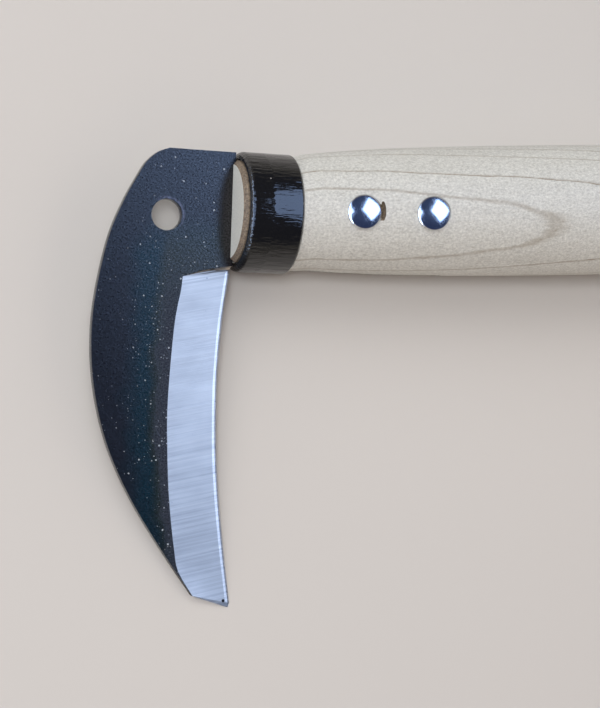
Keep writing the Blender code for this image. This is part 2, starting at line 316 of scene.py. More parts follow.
def makeScratchGroup():
    # long thin hairlines along x, broken up along their length
    group, given, mask = newMaskGroup("hairlines", "Fineness", "Length", "Amount")
    spread = addNode(group, "ShaderNodeCombineXYZ",
                     {"X": doMath(group, "DIVIDE", given["Fineness"], given["Length"]),
                      "Y": given["Fineness"], "Z": given["Fineness"]}).outputs[0]
    drawnOut = addNode(group, "ShaderNodeVectorMath", {0: given["Vector"], 1: spread},
                       operation="MULTIPLY").outputs[0]
    lines = noise(group, drawnOut, 1.0, 4.0, 0.65)
    edge = minus(group, 0.75, times(group, given["Amount"], 0.3))
    group.links.new(remap(group, lines, edge, 0.8), mask)
    return group


speckGroup = makeSpeckGroup()
scratchGroup = makeScratchGroup()


def specks(tree, vector, spacing, size, share):
    return addNode(tree, "ShaderNodeGroup",
                   {"Vector": vector, "Spacing": spacing, "Size": size, "Share": share},
                   node_tree=speckGroup).outputs[0]


def hairlines(tree, vector, fineness, length, amount):
    return addNode(tree, "ShaderNodeGroup",
                   {"Vector": vector, "Fineness": fineness, "Length": length, "Amount": amount},
                   node_tree=scratchGroup).outputs[0]


def bumped(tree, height, strength, distance):
    return addNode(tree, "ShaderNodeBump", {"Height": height, "Strength": strength,
                                            "Distance": distance * mm}).outputs[0]


def principled(tree, inputs):
    for key, value in inputs.items():
        feed(tree, tree.nodes["Principled BSDF"].inputs[key], value)


# the blade and the handle are drilled to suit the rivets, so their values come first
rivetShape = {
    "places": {"front": (29.1, -0.9), "rear": (47.1, -1.5)},
    "capRadius": 4.3,
    "capHeight": 1.5,
    "capRings": 18,
    "brim": 0.45,
    "brimRound": 0.12,
    "seatDepth": 0.7,
    "sleeveRadius": 2.5,
    "boreFloor": 6.0,          # how far under the cap's seat the sleeve's bore stops
    "postRadius": 1.5,
    "postStop": 6.6,           # how far under that seat the post ends
    "endRadius": 0.3,          # the last ring at the end of the bore and of the post
    "gap": 0.3,
    "segments": 72,
}


bladeShape = {
    "thick": 2.4,
    "arris": 0.16,             # softened edges of the back and the holes
    "rootX": -0.4,
    "rootTop": 14.7,
    "corner": [(-17.5, 14.8), (-20.4, 13.6), (-22.8, 11.5), (-23.9, 10.1)],
    "back": [(-23.9, 10.1), (-28.5, 1.4), (-32.3, -8.7), (-35.1, -23.6), (-35.5, -35.8),
             (-33.9, -48.0), (-30.2, -60.2), (-24.1, -72.3), (-16.0, -84.5), (-7.8, -95.6)],
    "bevelLine": [(-13.1, -16.8), (-13.4, -20.2), (-14.8, -29.1), (-15.8, -47.4),
                  (-15.5, -59.7), (-14.6, -72.0), (-12.9, -84.3), (-11.6, -89.7), (-7.8, -95.6)],
    "cuttingEdge": [(-0.5, -14.7), (-1.1, -19.5), (-2.1, -28.6), (-2.8, -43.0),
                    (-2.4, -59.5), (-1.3, -71.9), (0.3, -84.3), (2.3, -97.4)],
    "runOut": [(-13.1, -16.8), (-8.5, -15.1), (-3.7, -14.1), (-0.5, -13.7)],
    "tip": (1.9, -98.5),
    # across the ground side: how far in from the edge each line lies, and its height
    "ribs": [(1.25, 0.455), (1.10, 0.42), (0.75, 0.32), (0.42, 0.22), (0.0, 0.03)],
    "bevelRows": (0.25, 0.5, 0.75),
    "stations": 90,
    "cornerStations": 16,
    "hollowSteps": 7,
    "tipHeight": 0.2,
    "hole": (-17.7, -1.75, 7.75),
    "tangWidth": 20.0,
    "tangEndWidth": 16.0,
    "tangCorner": 2.0,
    "tangY": 0.4,
    "tangEnd": 54.5,
    "tangHole": 5.5,
    "drillDepth": 20.0,
    "pit": (0.66, -96.84, -0.62),      # a small pit beside the tip
    "pitRadius": 0.42,
    # ground and honed faces lie below this y, and the honed ones are steeper and low down
    "groundTop": -13.0,
    "honedTilt": 14.0,
    "honedHeight": 0.7,
    # the back's own wall, which stays black, is steeper still and left of this x
    "wallTilt": 60.0,
    "wallX": -4.0,
    # edges at least this sharp are softened, but for those that reach the cutting edge
    "arrisAngle": 50.0,
    "keenX": -7.5,
    "arrisSegments": 3,
    "crispAngle": 5.0,         # honed faces that meet at more than this get a crisp line
    "flatSides": 8,            # faces with more sides than this are true flats
}
bladeLook = {
    "oxide": (0.0055, 0.0060, 0.0090),
    # the oxide's own warm brown by the bevel, also used as painted shade by the handle
    "oxideWarmAndHandleShade": (0.0100, 0.0080, 0.0070),
    "oxideTeal": (0.002, 0.0125, 0.020),
    "oxideOlive": (0.011, 0.0145, 0.0105),
    "scratch": (0.10, 0.13, 0.17),
    "scratchAngle": 57.0,      # degrees from the handle's line
    "dust": (0.42, 0.46, 0.50),
    # painted highlight colour for the hanging hole's rim
    "holeRimHighlight": (0.085, 0.095, 0.150),
    # the bevel line's own bow, x = bow * (y - bowY)^2 + bowX
    "bow": 0.0022,
    "bowY": -44.0,
    "bowX": -15.8,
    # how far from the bevel line each colour fades in
    "tealFade": (13.0, 6.5),
    "oliveFade": (6.2, 2.6),
    "warmFade": (4.0, 1.2),
    "dustFade": (14.0, 5.0),
    "drift": 2.5,              # how far the fades wander
    "oxideTone": (0.55, 1.6),
    "oxideRoughness": (0.17, 0.21),
    "oxideShine": (0.24, 0.72),
    "oxideIor": 1.52,
    "grindAngle": -12.0,       # degrees that the grinding lines lean
    "groundLight": (0.57, 0.49, 0.405),
    "groundDark": (0.28, 0.245, 0.21),
    "groundPit": (0.12, 0.13, 0.15),
    "groundRoughness": 0.37,
    "honedRoughness": 0.30,
    # the honed strip's brightening: its polish, with a painted highlight on top
    "honedHighlightTint": 1.6,
}


def makeBlackSteel():
    made, tree = newMaterial("blackedSteel")
    look = bladeLook
    at = toolCoordinates(tree, headPlace)
    x, y, _ = splitPlace(tree, at)
    pebbles = noise(tree, at, 2.1, 3.0, 0.6)
    grit = noise(tree, at, 5.0, 3.0, 0.6)
    grain = noise(tree, at, 2.5, 2.0, 0.5)
    cloud = noise(tree, at, 0.05, 3.0, 0.6)
    # the heat of grinding left a blue band along the bevel and brown beside it; the brown by the
    # handle is painted shade and reflection of the handle
    drift = remap(tree, cloud, 0.3, 0.7, -look["drift"], look["drift"])
    bend = minus(tree, y, look["bowY"])
    bevelLine = plus(tree, times(tree, bend, bend, look["bow"]), look["bowX"])
    fromBevel = plus(tree, minus(tree, bevelLine, x), drift)
    band = times(tree, remap(tree, fromBevel, *look["tealFade"], smooth=True),
                 remap(tree, y, 0.0, -12.0, smooth=True), remap(tree, y, -92.0, -70.0, 0.35, 1.0))
    olive = remap(tree, fromBevel, *look["oliveFade"], smooth=True)
    nearBevel = times(tree, remap(tree, fromBevel, *look["warmFade"], smooth=True),
                      remap(tree, y, -8.0, -30.0, smooth=True))
    # painted shade and brown reflection of the handle along the blade's root
    paintedHandleShade = times(tree, remap(tree, plus(tree, x, times(tree, drift, 0.4)), -5.5, -1.0,
                                 smooth=True), remap(tree, y, 13.0, 4.0, smooth=True))
    colour = mixColour(tree, band, look["oxide"], look["oxideTeal"])
    colour = mixColour(tree, times(tree, band, olive), colour, look["oxideOlive"])
    colour = mixColour(tree, nearBevel, colour, look["oxideWarmAndHandleShade"])
    colour = mixColour(tree, paintedHandleShade, colour, look["oxideWarmAndHandleShade"])
    tone = remap(tree, pebbles, 0.3, 0.7, *look["oxideTone"])
    colour = mixColour(tree, 1.0, colour, grey(tree, tone), "MULTIPLY")
    # dust gathers towards the bevel, in clusters
    cluster = remap(tree, noise(tree, at, 0.11, 2.0), 0.42, 0.62, 0.25, 1.0)
    share = times(tree, cluster, remap(tree, fromBevel, *look["dustFade"], 0.25, 0.85),
                  remap(tree, y, 2.0, -12.0, 0.3, 1.0))
    dusty = larger(tree, specks(tree, at, 1.15, 0.25, share),
                   times(tree, specks(tree, at, 0.7, 0.17, share), 0.5))
    # a painted highlight on the deburred rim round the hanging hole's upper right
    holeX, holeY, holeSize = bladeShape["hole"]
    rim, middle = holeSize / 2, holeX + holeY
    fromHole = addNode(tree, "ShaderNodeVectorMath",
                       {0: at, 1: (holeX, holeY, bladeShape["thick"] / 2)},
                       operation="DISTANCE").outputs["Value"]
    fromHole = plus(tree, fromHole, remap(tree, grit, 0.3, 0.7, -0.15, 0.15))
    paintedRimHighlight = times(tree, remap(tree, fromHole, rim + 0.1, rim + 0.3),
                 remap(tree, fromHole, rim + 0.9, rim + 0.45),
                 remap(tree, plus(tree, x, y), middle - 1.0, middle + 3.5, smooth=True),
                 remap(tree, pebbles, 0.42, 0.56, 0.25, 1.0))
    colour = mixColour(tree, paintedRimHighlight, colour, look["holeRimHighlight"])
    scratches = hairlines(tree, stretched(tree, at, turn=look["scratchAngle"]), 1.6, 26.0, 0.35)
    colour = mixColour(tree, times(tree, scratches, 0.5), colour, look["scratch"])
    colour = mixColour(tree, times(tree, dusty, 0.85), colour, look["dust"])
    relief = plus(tree, pebbles, times(tree, grit, 0.3))
    rough = plus(tree, remap(tree, cloud, 0.3, 0.7, *look["oxideRoughness"]),
                 times(tree, larger(tree, paintedHandleShade, nearBevel), 0.25))
    principled(tree, {"Base Color": colour, "Roughness": rough, "IOR": look["oxideIor"],
                      "Specular IOR Level": remap(tree, grain, 0.35, 0.65, *look["oxideShine"]),
                      "Normal": bumped(tree, relief, 0.5, 0.05)})
    return made


def makeGroundSteel(name, roughness, tint=1.0):
    made, tree = newMaterial(name)
    at = toolCoordinates(tree, headPlace)
    _, y, _ = splitPlace(tree, at)
    across = stretched(tree, at, turn=bladeLook["grindAngle"])
    lines = noise(tree, stretched(tree, across, (0.010, 1.5, 0.01)), 1.0, 3.0, 0.7)
    fine = noise(tree, stretched(tree, across, (0.05, 3.4, 0.05)), 1.0, 3.0, 0.65)
    cloud = noise(tree, stretched(tree, across, (0.08, 0.2, 0.2)), 1.0, 3.0)
    # the lines show most low down and just under the run-out
    strength = larger(tree, remap(tree, y, -42.0, -62.0, 0.45, 1.2, smooth=True),
                      remap(tree, y, -22.0, -17.5, 0.0, 1.6))
    share = plus(tree, times(tree, minus(tree, lines, 0.5), strength), times(tree, cloud, 0.4))
    share = plus(tree, share, times(tree, fine, 0.4))
    # darker towards the tip: painted shade where the bevel reflects less of the window
    share = minus(tree, share, remap(tree, y, -45.0, -90.0, 0.0, 0.20))
    # a tint above 1 brightens the steel: the honed strip's polish with a painted highlight
    light = [c * tint for c in bladeLook["groundLight"]]
    dark = [c * tint for c in bladeLook["groundDark"]]
    colour = mixColour(tree, remap(tree, share, 0.08, 0.72), dark, light)
    pits = larger(tree, specks(tree, at, 7.0, 0.45, 0.30),
                  times(tree, specks(tree, at, 2.4, 0.22, 0.4), 0.5))
    colour = mixColour(tree, times(tree, pits, 0.7), colour, bladeLook["groundPit"])
    rough = remap(tree, lines, 0.3, 0.7, roughness - 0.04, roughness + 0.06)
    relief = plus(tree, lines, times(tree, fine, 0.5))
    principled(tree, {"Base Color": colour, "Metallic": 1.0, "Roughness": rough,
                      "Normal": bumped(tree, relief, 0.3, 0.05)})
    return made


def smoothLine(points, count):
    # evenly spaced points on a smooth curve through the given ones
    knots = [Vector(p) for p in points]
    knots = [2 * knots[0] - knots[1], *knots, 2 * knots[-1] - knots[-2]]
    dense, steps = [], 24
    for a, b, c, d in zip(knots, knots[1:], knots[2:], knots[3:]):
        for i in range(steps):
            t = i / steps
            dense.append(0.5 * (2 * b + (c - a) * t + (2 * a - 5 * b + 4 * c - d) * t**2
                                + (3 * b - a - 3 * c + d) * t**3))
    dense.append(knots[-2])
    along = [0.0]
    for a, b in zip(dense, dense[1:]):
        along.append(along[-1] + (b - a).length)
    out, i = [], 0
    for k in range(count):
        wanted = along[-1] * k / (count - 1)
        while i < len(dense) - 2 and along[i + 1] < wanted:
            i += 1
        out.append(dense[i].lerp(dense[i + 1], (wanted - along[i]) / (along[i + 1] - along[i])))
    return out


def makeBladeMesh():
    # the ground side is a grid of ribs from the bevel line down to the cutting edge
    b = bladeShape
    top, bottom = b["thick"] / 2, -b["thick"] / 2
    bevelLine = smoothLine(b["bevelLine"], b["stations"])
    cuttingEdge = smoothLine(b["cuttingEdge"], b["stations"])
    half, endHalf, cut = b["tangWidth"] / 2, b["tangEndWidth"] / 2, b["tangCorner"]
    rootX, tangEnd, tangY = b["rootX"], b["tangEnd"], b["tangY"]
    tang = [(rootX, tangY - half), (tangEnd - cut, tangY - endHalf),
            (tangEnd, tangY - endHalf + cut), (tangEnd, tangY + endHalf - cut),
            (tangEnd - cut, tangY + endHalf), (rootX, tangY + half), (rootX, b["rootTop"])]
    outline = ([Vector(p) for p in tang] + smoothLine(b["corner"], b["cornerStations"])[:-1]
               + smoothLine(b["back"], b["stations"])[:-1])
    mesh = bmesh.new()

    def row(points, height):
        return [mesh.verts.new((p[0] * mm, p[1] * mm, height * mm)) for p in points]

    def strip(first, second):
        for a, c, d, e in zip(first, first[1:], second[1:], second):
            mesh.faces.new((a, c, d, e))

    lines = [row(bevelLine, top)]
    firstInset, firstHeight = b["ribs"][0]
    for share in b["bevelRows"]:
        points = []
        for start, end in zip(bevelLine, cuttingEdge):
            inner = end - (end - start).normalized() * firstInset
            points.append(start.lerp(inner, share))
        lines.append(row(points, top + (bottom + firstHeight - top) * share))
    for inset, height in b["ribs"]:
        lines.append(row([end - (end - start).normalized() * inset
                          for start, end in zip(bevelLine, cuttingEdge)], bottom + height))
    for upper, lower in zip(lines, lines[1:]):
        strip(upper, lower)
    # the upper end of the bevel curls up to the flat in a hollow, as the wheel's corner left it
    runOut = smoothLine(b["runOut"], len(lines))
    ends = [line[0] for line in lines]
    rows = [ends]
    for k in range(1, b["hollowSteps"] + 1):
        t = k / b["hollowSteps"]
        lift = 1 - math.sqrt(1 - t * t)
        made = []
        for end, target in zip(ends[1:], runOut[1:]):
            flat = Vector((end.co.x, end.co.y)).lerp(target * mm, t)
            made.append(mesh.verts.new((*flat, end.co.z + (top * mm - end.co.z) * lift)))
        rows.append([ends[0], *made])
    for upper, lower in zip(rows, rows[1:]):
        strip(upper[1:], lower[1:])
        mesh.faces.new((ends[0], upper[1], lower[1]))
    hollowTop = rows[-1]
    flatTop, flatBottom = row(outline, top), row(outline, bottom)
    edgeBottom = row(cuttingEdge, bottom)
    heelBottom = row([b["runOut"][-1]], bottom)[0]
    tipTop, tipBottom = (row([b["tip"]], bottom + b["tipHeight"])[0],
                         row([b["tip"]], bottom)[0])
    tipBack = row([bevelLine[-1]], bottom)[0]
    mesh.faces.new([*flatTop, *reversed(lines[0]), *hollowTop[1:]])
    mesh.faces.new([*flatBottom, tipBack, tipBottom, *reversed(edgeBottom), heelBottom])
    strip(flatTop, flatBottom)
    mesh.faces.new((flatTop[-1], lines[0][-1], tipBack, flatBottom[-1]))
    strip(lines[-1], edgeBottom)
    mesh.faces.new([made[-1] for made in rows] + [heelBottom, edgeBottom[0]])
    mesh.faces.new((flatTop[0], hollowTop[-1], heelBottom, flatBottom[0]))
    mesh.faces.new([*(line[-1] for line in lines), tipTop])
    mesh.faces.new((lines[-1][-1], tipTop, tipBottom, edgeBottom[-1]))
    mesh.faces.new((lines[0][-1], tipTop, tipBottom, tipBack))
    bmesh.ops.recalc_face_normals(mesh, faces=mesh.faces)
    data = bpy.data.meshes.new("bladeForging")
    mesh.to_mesh(data)
    mesh.free()
    piece = bpy.data.objects.new("bladeForging", data)
    scene.collection.objects.link(piece)
    return piece


def bladeFinish(face):
    # the place of a face's finish among the blade's three: black, ground, honed
    b = bladeShape
    middle = b["thick"] / 2
    centre, tilt = face.center / mm, math.degrees(math.acos(min(1, abs(face.normal.z))))
    isFlat = centre.z > middle - 0.01 or face.normal.z < 0 or len(face.vertices) > 12
    isBackWall = tilt > b["wallTilt"] and centre.x < b["wallX"]
    if centre.y > b["groundTop"] or isFlat or isBackWall:
        return 0
    return 2 if tilt > b["honedTilt"] and centre.z < b["honedHeight"] - middle else 1


def makeBlade():
    b, look = bladeShape, bladeLook
    piece = makeBladeMesh()
    for finish in (makeBlackSteel(), makeGroundSteel("groundBevel", look["groundRoughness"]),
                   makeGroundSteel("honedEdge", look["honedRoughness"], look["honedHighlightTint"])):
        piece.data.materials.append(finish)
    for face in piece.data.polygons:
        face.material_index = bladeFinish(face)
    x, y, size = b["hole"]
    drill(piece, (x * mm, y * mm, 0), size / 2, b["drillDepth"], segments=96)
    for x, y in rivetShape["places"].values():
        middle = headTurn.inverted() @ Vector((x * mm, y * mm, 0))
        drill(piece, middle, b["tangHole"] / 2, b["drillDepth"], segments=32)
    weighArrises(piece)
    applyModifier(piece, "BEVEL", width=b["arris"] * mm, segments=b["arrisSegments"],
                  limit_method="WEIGHT", use_clamp_overlap=True)
    cutWith(piece, addCutter("uv_sphere", segments=24, ring_count=12, radius=b["pitRadius"] * mm,
                             location=[c * mm for c in b["pit"]]))
    smoothShade(piece, 32)
    markGroundEdges(piece)
    placePiece(piece, headPlace)
    finishPiece(piece, "blade", slot="blade_steel")
    print("blade done,", len(piece.data.polygons), "faces")


def weighArrises(piece):
    # only the plate's own square edges are softened, and the ground side stays keen
    shape = bmesh.new()
    shape.from_mesh(piece.data)
    weight = shape.edges.layers.float.new("bevel_weight_edge")
    middle, near = bladeShape["thick"] / 2 * mm, 1e-7
    squarest = math.radians(bladeShape["arrisAngle"])
    for edge in shape.edges:
        if len(edge.link_faces) != 2 or edge.calc_face_angle(0) < squarest:
            continue
        onFlat = all(abs(abs(v.co.z) - middle) < near for v in edge.verts)
        level = abs(edge.verts[0].co.z - edge.verts[1].co.z) < near
        ground = any(face.material_index for face in edge.link_faces)
        nearEdge = all(v.co.x > bladeShape["keenX"] * mm
                       and v.co.y < bladeShape["groundTop"] * mm for v in edge.verts)
        if onFlat and level and not ground and not nearEdge:
            edge[weight] = 1.0
    shape.to_mesh(piece.data)
    shape.free()


def markGroundEdges(piece):
    # crisp lines where one finish meets the next and along the honed edge, and true flats
    shape = bmesh.new()
    shape.from_mesh(piece.data)
    crisp = math.radians(bladeShape["crispAngle"])
    for edge in shape.edges:
        finishes = {face.material_index for face in edge.link_faces}
        if len(finishes) > 1 or (2 in finishes and edge.calc_face_angle(0) > crisp):
            edge.smooth = False
    for face in shape.faces:
        if len(face.verts) > bladeShape["flatSides"]:
            face.smooth = False
    shape.to_mesh(piece.data)
    shape.free()


makeBlade()


ferruleShape = {
    "length": 13.5,
    "radius": 15.0,
    "bore": 14.1,
    "lipRadius": 13.1,
    "lip": 1.2,                # how thick the turned-in lip is
    "lipEdge": 0.35,           # the small chamfer at its mouth
    "lipCut": 0.1,
    "frontRound": 1.5,
    "backRound": 0.55,
    "segments": 160,
}
paintLook = {
    "deep": (0.0070, 0.0070, 0.0072),
    "faded": (0.0105, 0.0102, 0.0100),
    "dust": (0.30, 0.29, 0.28),
    "crestX": 5.9,             # the coat is thickest here and falls away to both rims
    "frontSlope": 0.085,
    "rearSlope": -0.062,
    "crestWobble": 0.5,
    "ridgeHeight": 0.004,
    "ior": 1.55,
    "roughness": (0.07, 0.13),
}


def makeBlackPaint():
    made, tree = newMaterial("glossBlackPaint")
    look = paintLook
    at = toolCoordinates(tree, headPlace)
    x, _, _ = splitPlace(tree, at)
    # a brushed coat with fine ridges along the ring's width
    ridges = noise(tree, stretched(tree, at, (0.22, 1.3, 1.3)), 1.0, 2.0, 0.5)
    fine = noise(tree, at, 5.0, 2.0, 0.6)
    wobble = remap(tree, ridges, 0.3, 0.7, -look["crestWobble"], look["crestWobble"])
    fromCrest = plus(tree, minus(tree, x, look["crestX"]), wobble)
    swell = doMath(tree, "MINIMUM", times(tree, fromCrest, look["frontSlope"]),
                   times(tree, fromCrest, look["rearSlope"]))
    tone = mixColour(tree, fine, look["deep"], look["faded"])
    coloured = mixColour(tree, specks(tree, at, 2.6, 0.2, 0.3), tone, look["dust"])
    brushed = plus(tree, ridges, times(tree, fine, 0.1))
    height = plus(tree, swell, times(tree, brushed, look["ridgeHeight"]))
    principled(tree, {"Base Color": coloured, "IOR": look["ior"],
                      "Roughness": remap(tree, fine, 0.3, 0.7, *look["roughness"]),
                      "Normal": bumped(tree, height, 1.0, 1.0)})
    return made


def makeFerrule():
    f = ferruleShape
    profile = [(f["lip"], f["lipRadius"]), (f["lipEdge"], f["lipRadius"]),
               (f["lipCut"], f["lipRadius"] + f["lipCut"]), (0.0, f["lipRadius"] + f["lipEdge"])]
    profile += arcPoints(f["frontRound"], f["radius"] - f["frontRound"], f["frontRound"],
                         0, 90, 12)
    profile += [(f["length"] * share, f["radius"]) for share in (0.3, 0.5, 0.7)]
    profile += arcPoints(f["length"] - f["backRound"], f["radius"] - f["backRound"],
                         f["backRound"], 90, 180, 7)
    profile += [(f["length"], f["bore"]), (f["lip"], f["bore"]), profile[0]]
    piece = turnedPiece("ferruleRing", profile, f["segments"], closed=True)
    placePiece(piece, headPlace)
    smoothShade(piece, 40)
    piece.data.materials.append(makeBlackPaint())
    finishPiece(piece, "ferrule", slot="ferrule_paint")
    print("ferrule done,", len(piece.data.polygons), "faces")


makeFerrule()


handleShape = {
    "noseX": -1.1,
    "noseRadius": 11.75,
    "chamfer": 1.0,
    "neckRadius": 12.8,
    "neckEnd": 1.45,
    "spigotStart": 1.5,
    "spigotRadius": 13.8,
    "shoulderX": 13.8,
    "shoulderRadius": 14.25,
    "barrel": [(18.0, 14.6), (22.0, 14.95), (28.0, 15.4), (35.0, 15.82), (44.5, 16.2),
               (56.0, 16.5), (72.0, 16.75), (95.0, 16.9), (115.0, 16.6), (130.0, 15.9),
               (141.0, 14.7)],
    "barrelSteps": 62,
    "buttRadius": 13.9,
    "buttRound": 6.0,
    "segments": 128,
    "kerf": 2.9,
    "kerfEnd": 55.1,
    "cutReach": 60.0,          # cutters reach this far, well past the handle
    "clearance": 0.1,          # round each rivet
    "chip": {"at": (33.75, -0.7, 15.7), "size": (0.75, 2.4, 1.7)},   # beside the front rivet
}
woodLook = {
    "pale": (0.68, 0.68, 0.635),
    "shade": (0.60, 0.595, 0.545),
    "fleck": (0.30, 0.27, 0.215),
    "ringLine": (0.225, 0.170, 0.095),
    "ringTilt": 17.0,          # degrees that the rings lean round the handle
    "ringRise": 0.081,         # how fast they run out along it
    "ringX": 30.0,             # where along the handle the depths below hold
    "ringDepths": [-13.0, -9.6, -5.4, -1.4, 2.9, 8.9, 12.75],
    "ringBlur": 0.42,          # how far each ring's darkening fades on its slow side
    "logDepth": 40.0,          # the depth of wood that the rings are drawn through
    # the wood's cut faces; the rough chamfer's dark brown also serves as painted shade inside the
    # chip
    "cutEndGrain": {"low": (0.55, 0.57, 0.53), "high": (0.74, 0.74, 0.69), "bump": 0.3},
    "roughChamferAndChipShade": {"low": (0.045, 0.028, 0.016), "high": (0.34, 0.26, 0.17), "bump": 1.0},
}


def barrelRadius(x):
    return smoothHeights(handleShape["barrel"], x)


def makeRings(tree, at):
    # a mask of the growth rings, from how deep each place lies in the log
    look = woodLook
    wander = noise(tree, stretched(tree, at, (0.025, 0.06, 0.06)), 1.0, 2.0, 0.5)
    ragged = noise(tree, stretched(tree, at, (0.35, 1.0, 1.0)), 1.0, 3.0, 0.6)
    x, y, z = splitPlace(tree, at)
    lean = math.radians(look["ringTilt"])
    height = minus(tree, times(tree, z, math.cos(lean)), times(tree, y, math.sin(lean)))
    along = times(tree, minus(tree, x, look["ringX"]), look["ringRise"])
    depth = plus(tree, minus(tree, height, along), remap(tree, wander, 0.2, 0.8, -0.5, 0.5))
    depth = plus(tree, depth, remap(tree, ragged, 0.2, 0.8, -0.12, 0.12))
    blur = look["ringBlur"] / look["logDepth"]
    stops = [(0.0, (0, 0, 0))]
    for ring in look["ringDepths"]:
        middle = ring / look["logDepth"] + 0.5
        stops += [(middle - blur, (0, 0, 0)), (middle - blur * 0.35, (0.28, 0.28, 0.28)),
                  (middle, (1, 1, 1)), (middle + blur * 0.25, (0, 0, 0))]
    lines = ramp(tree, plus(tree, doMath(tree, "DIVIDE", depth, look["logDepth"]), 0.5), stops)
    return addNode(tree, "ShaderNodeSeparateColor", {"Color": lines}).outputs["Red"]


def makeWood():
    made, tree = newMaterial("paleTurnedWood")
    look = woodLook
    at = toolCoordinates(tree, toolPlace)
    fibre = noise(tree, stretched(tree, at, (0.3, 2.2, 2.2)), 1.0, 4.0, 0.65)
    speckle = noise(tree, stretched(tree, at, (1.5, 1.9, 1.9)), 1.0, 4.0, 0.8)
    broad = noise(tree, stretched(tree, at, (0.03, 0.22, 0.22)), 1.0, 2.0)
    tone = mixColour(tree, remap(tree, fibre, 0.3, 0.75), look["pale"], look["shade"])
    tone = mixColour(tree, remap(tree, broad, 0.4, 0.7, 0.0, 0.6), tone, look["shade"])
    mottle = grey(tree, remap(tree, speckle, 0.3, 0.7, 0.68, 1.24))
    tone = mixColour(tree, 1.0, tone, mottle, "MULTIPLY")
    # short dark pores along the grain
    pores = noise(tree, stretched(tree, at, (0.9, 4.0, 4.0)), 1.0, 2.0, 0.6, 0.2)
    tone = mixColour(tree, remap(tree, pores, 0.60, 0.76, 0.0, 0.65), tone, look["fleck"])
    patchy = remap(tree, noise(tree, stretched(tree, at, (0.25, 0.8, 0.8)), 1.0, 3.0, 0.6),
                   0.3, 0.6, 0.55, 0.95)
    tone = mixColour(tree, times(tree, makeRings(tree, at), patchy), tone, look["ringLine"])
    surface = plus(tree, fibre, times(tree, speckle, 0.6))
    principled(tree, {"Base Color": tone, "Roughness": remap(tree, speckle, 0.3, 0.7, 0.55, 0.68),
                      "Normal": bumped(tree, surface, 0.3, 0.15)})
    return made


def makeEndGrain(name):
    made, tree = newMaterial(name)
    look = woodLook[name]
    pores = noise(tree, toolCoordinates(tree, headPlace), 1.9, 4.0, 0.75)
    coloured = mixColour(tree, remap(tree, pores, 0.3, 0.7), look["low"], look["high"])
    principled(tree, {"Base Color": coloured, "Roughness": 0.75,
                      "Normal": bumped(tree, pores, look["bump"], 0.2)})
    return made


def insideChip(point):
    chip, margin = handleShape["chip"], 1.1
    return sum(((p - c) / size)**2 for p, c, size in zip(point, chip["at"], chip["size"])) < margin


def makeHandleProfile():
    h = handleShape
    profile = [(h["noseX"], h["noseRadius"]), (h["noseX"] + h["chamfer"], h["neckRadius"]),
               (h["neckEnd"], h["neckRadius"]), (h["spigotStart"], h["spigotRadius"]),
               (h["shoulderX"], h["spigotRadius"]), (h["shoulderX"] + 0.02, h["shoulderRadius"])]
    first, last = h["barrel"][0][0], h["barrel"][-1][0]
    for i in range(h["barrelSteps"] + 1):
        x = first + (last - first) * i / h["barrelSteps"]
        profile.append((x, barrelRadius(x)))
    return profile + arcPoints(layout["buttX"] - h["buttRound"], h["buttRadius"] - h["buttRound"],
                               h["buttRound"], 100, 180, 14)


def cutHandle(piece):
    h, r = handleShape, rivetShape
    reach = h["cutReach"] * mm
    kerf = addCutter("cube", size=1)
    kerf.scale = (h["kerfEnd"] * mm + reach, reach, h["kerf"] * mm)
    kerf.location = (h["kerfEnd"] * mm / 2 - reach / 2, 0, 0)
    cutWith(piece, kerf, headTurn)
    for x, y in r["places"].values():
        drill(piece, (x * mm, y * mm, 0), r["sleeveRadius"] + h["clearance"], h["cutReach"],
              segments=48)
        # each cap's pocket starts at its seat and ends outside the handle
        seat = barrelRadius(x) - r["seatDepth"]
        for side in (1, -1):
            drill(piece, (x * mm, y * mm, side * 1.5 * seat * mm),
                  r["capRadius"] + h["clearance"], seat, segments=72)
    chip = addCutter("ico_sphere", subdivisions=4, radius=1.0,
                     location=[c * mm for c in h["chip"]["at"]])
    chip.scale = [c * mm for c in h["chip"]["size"]]
    cutWith(piece, chip)


def makeHandle():
    h = handleShape
    piece = turnedPiece("handleGrip", makeHandleProfile(), h["segments"])
    # the nose and neck stand square to the blade and the ferrule
    for vertex in piece.data.vertices:
        if vertex.co.x < (h["shoulderX"] + 0.1) * mm:
            vertex.co = headTurn @ vertex.co
    cutHandle(piece)
    smoothShade(piece, 30)
    for finish in (makeWood(), makeEndGrain("cutEndGrain"), makeEndGrain("roughChamferAndChipShade")):
        piece.data.materials.append(finish)
    back = headTurn.inverted()
    for face in piece.data.polygons:
        centre = back @ face.center / mm
        onNeck = (centre.x < h["spigotStart"] - 0.01
                  and Vector((centre.y, centre.z)).length > h["noseRadius"] - 0.75)
        if centre.x < h["noseX"] + 0.05:
            face.material_index = 1
        # the neck's chamfer gets its rough brown, and the chip's faces get it as painted shade in
        # the hollow
        elif onNeck or insideChip(face.center / mm):
            face.material_index = 2
    placePiece(piece, toolPlace)
    finishPiece(piece, "handle", slot="handle_wood")
    print("handle done,", len(piece.data.polygons), "faces")


makeHandle()


plateLook = {
    "dark": (0.80, 0.83, 0.88),
    "light": (0.90, 0.92, 0.95),
    "roughness": (0.13, 0.28),
}


def makePlate():
    made, tree = newMaterial("brightPlate")
    at = toolCoordinates(tree, toolPlace)
    scuffs = noise(tree, at, 2.0, 3.0, 0.6)
    fine = noise(tree, at, 9.0, 3.0, 0.6)
    coloured = mixColour(tree, fine, plateLook["dark"], plateLook["light"])
    principled(tree, {"Base Color": coloured, "Metallic": 1.0,
                      "Roughness": remap(tree, scuffs, 0.35, 0.75, *plateLook["roughness"]),
                      "Normal": bumped(tree, scuffs, 0.12, 0.05)})
    return made


